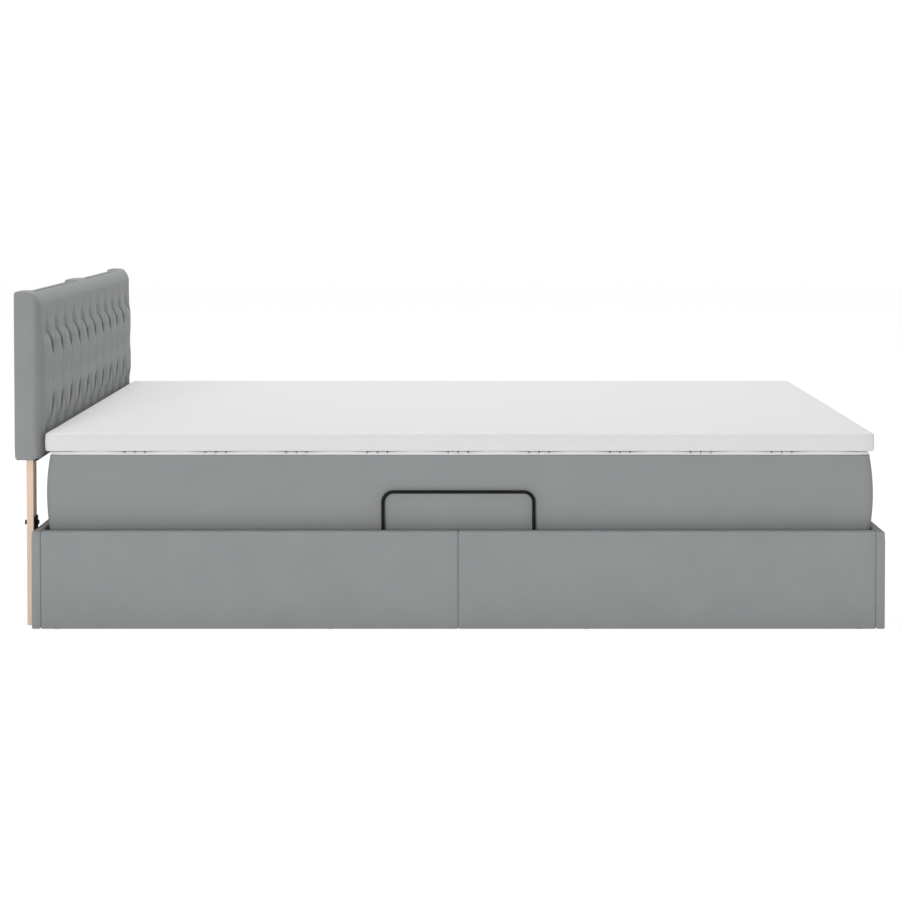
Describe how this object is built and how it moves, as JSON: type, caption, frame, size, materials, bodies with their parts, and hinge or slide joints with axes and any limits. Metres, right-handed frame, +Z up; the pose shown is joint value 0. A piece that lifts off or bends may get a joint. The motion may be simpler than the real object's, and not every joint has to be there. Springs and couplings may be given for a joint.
{
  "type": "storage bed",
  "caption": "Upholstered box bed with a tufted headboard on wooden legs, a mattress and topper, and a slatted frame that lifts sideways on gas springs over a storage space.",
  "frame": {"origin": "centre of the bounding box, on the floor", "axes": "+X from the headboard to the foot end, +Y towards the hinged long side, +Z up"},
  "size_m": [2.075, 1.25, 0.803],
  "materials": {
    "panel_fabric": "woven grey upholstery",
    "chipboard": "raw board",
    "floor_panel": "white faced hardboard",
    "softwood": "planed pine",
    "leg_wood": "planed light wood",
    "slat_wood": "birch ply",
    "black_steel": "black powder coat",
    "zinc_steel": "zinc plated",
    "rod_steel": "hard chrome",
    "black_plastic": "moulded",
    "white_plastic": "moulded nylon",
    "black_rubber": "moulded",
    "underside_cloth": "black lining",
    "border_knit": "grey knit",
    "quilted_knit": "white quilted knit",
    "foam": "foam"
  },
  "bodies": {
    "base": {"head_panel_board": "chipboard", "head_panel_cover": "panel_fabric", "foot_panel_board": "chipboard", "foot_panel_cover": "panel_fabric", "near_side_head_board": "chipboard", "near_side_head_cover": "panel_fabric", "near_side_foot_board": "chipboard", "near_side_foot_cover": "panel_fabric", "far_side_head_board": "chipboard", "far_side_head_cover": "panel_fabric", "far_side_foot_board": "chipboard", "far_side_foot_cover": "panel_fabric", "floor_battens": "softwood", "divider_board": "chipboard", "floor_boards": "floor_panel", "joiner_plates": "black_steel", "corner_blocks": "softwood", "corner_block_screws": "zinc_steel", "rest_ledges": "softwood", "rest_pads": "black_rubber", "floor_glides": "white_plastic", "headboard_post_near": "softwood", "headboard_post_far": "softwood", "headboard_post_centre": "softwood", "headboard_ply": "chipboard", "headboard_back_cover": "panel_fabric", "headboard_cushion": "panel_fabric", "headboard_buttons": "panel_fabric", "headboard_underside": "underside_cloth", "headboard_leg_near": "leg_wood", "headboard_leg_far": "leg_wood", "leg_brackets": "black_steel", "leg_bolts": "black_steel", "leg_bracket_screws": "zinc_steel", "hinge_brackets": "black_steel", "hinge_pins": "zinc_steel", "spring_base_studs": "zinc_steel"},
    "lifting_frame": {"frame_rail_near": "black_steel", "frame_rail_far": "black_steel", "frame_end_rail_head": "black_steel", "frame_end_rail_foot": "black_steel", "frame_centre_rail": "black_steel", "frame_cross_rails": "black_steel", "slats": "slat_wood", "slat_holders_near": "black_plastic", "slat_holders_far": "black_plastic", "handle": "black_steel", "hinge_lugs": "black_steel", "spring_frame_studs": "zinc_steel", "mattress_border": "border_knit", "mattress_bottom_panel": "border_knit", "mattress_core": "foam", "mattress_top_panel": "quilted_knit", "topper_foam": "foam", "topper_cover_top": "quilted_knit", "topper_cover_bottom": "quilted_knit"},
    "gas_cylinder_head": {"gas_cylinder_head": "black_steel"},
    "gas_rod_head": {"gas_rod_head": "rod_steel"},
    "gas_cylinder_foot": {"gas_cylinder_foot": "black_steel"},
    "gas_rod_foot": {"gas_rod_foot": "rod_steel"}
  },
  "joints": [
    {"name": "platform_lift", "type": "hinge", "parent": "base", "child": "lifting_frame", "pos_m": [0.0225, 0.5945, 0.226], "axis": [-1, 0, 0], "range_deg": [0, 40]},
    {"name": "gas_cylinder_turn_head", "type": "hinge", "parent": "base", "child": "gas_cylinder_head", "pos_m": [-0.9555, 0.557, 0.065], "axis": [-1, 0, 0], "range_deg": [0, 28]},
    {"name": "gas_rod_slide_head", "type": "slide", "parent": "gas_cylinder_head", "child": "gas_rod_head", "axis": [0, -0.8112, 0.5848], "range_m": [0, 0.098]},
    {"name": "gas_cylinder_turn_foot", "type": "hinge", "parent": "base", "child": "gas_cylinder_foot", "pos_m": [1.0005, 0.557, 0.065], "axis": [-1, 0, 0], "range_deg": [0, 28]},
    {"name": "gas_rod_slide_foot", "type": "slide", "parent": "gas_cylinder_foot", "child": "gas_rod_foot", "axis": [0, -0.8112, 0.5848], "range_m": [0, 0.098]}
  ],
  "couplings": [
    {"joint": "gas_cylinder_turn_head", "follows": "platform_lift", "ratio": 0.656},
    {"joint": "gas_rod_slide_head", "follows": "platform_lift", "m_per_rad": 0.1364},
    {"joint": "gas_cylinder_turn_foot", "follows": "platform_lift", "ratio": 0.656},
    {"joint": "gas_rod_slide_foot", "follows": "platform_lift", "m_per_rad": 0.1364}
  ]
}
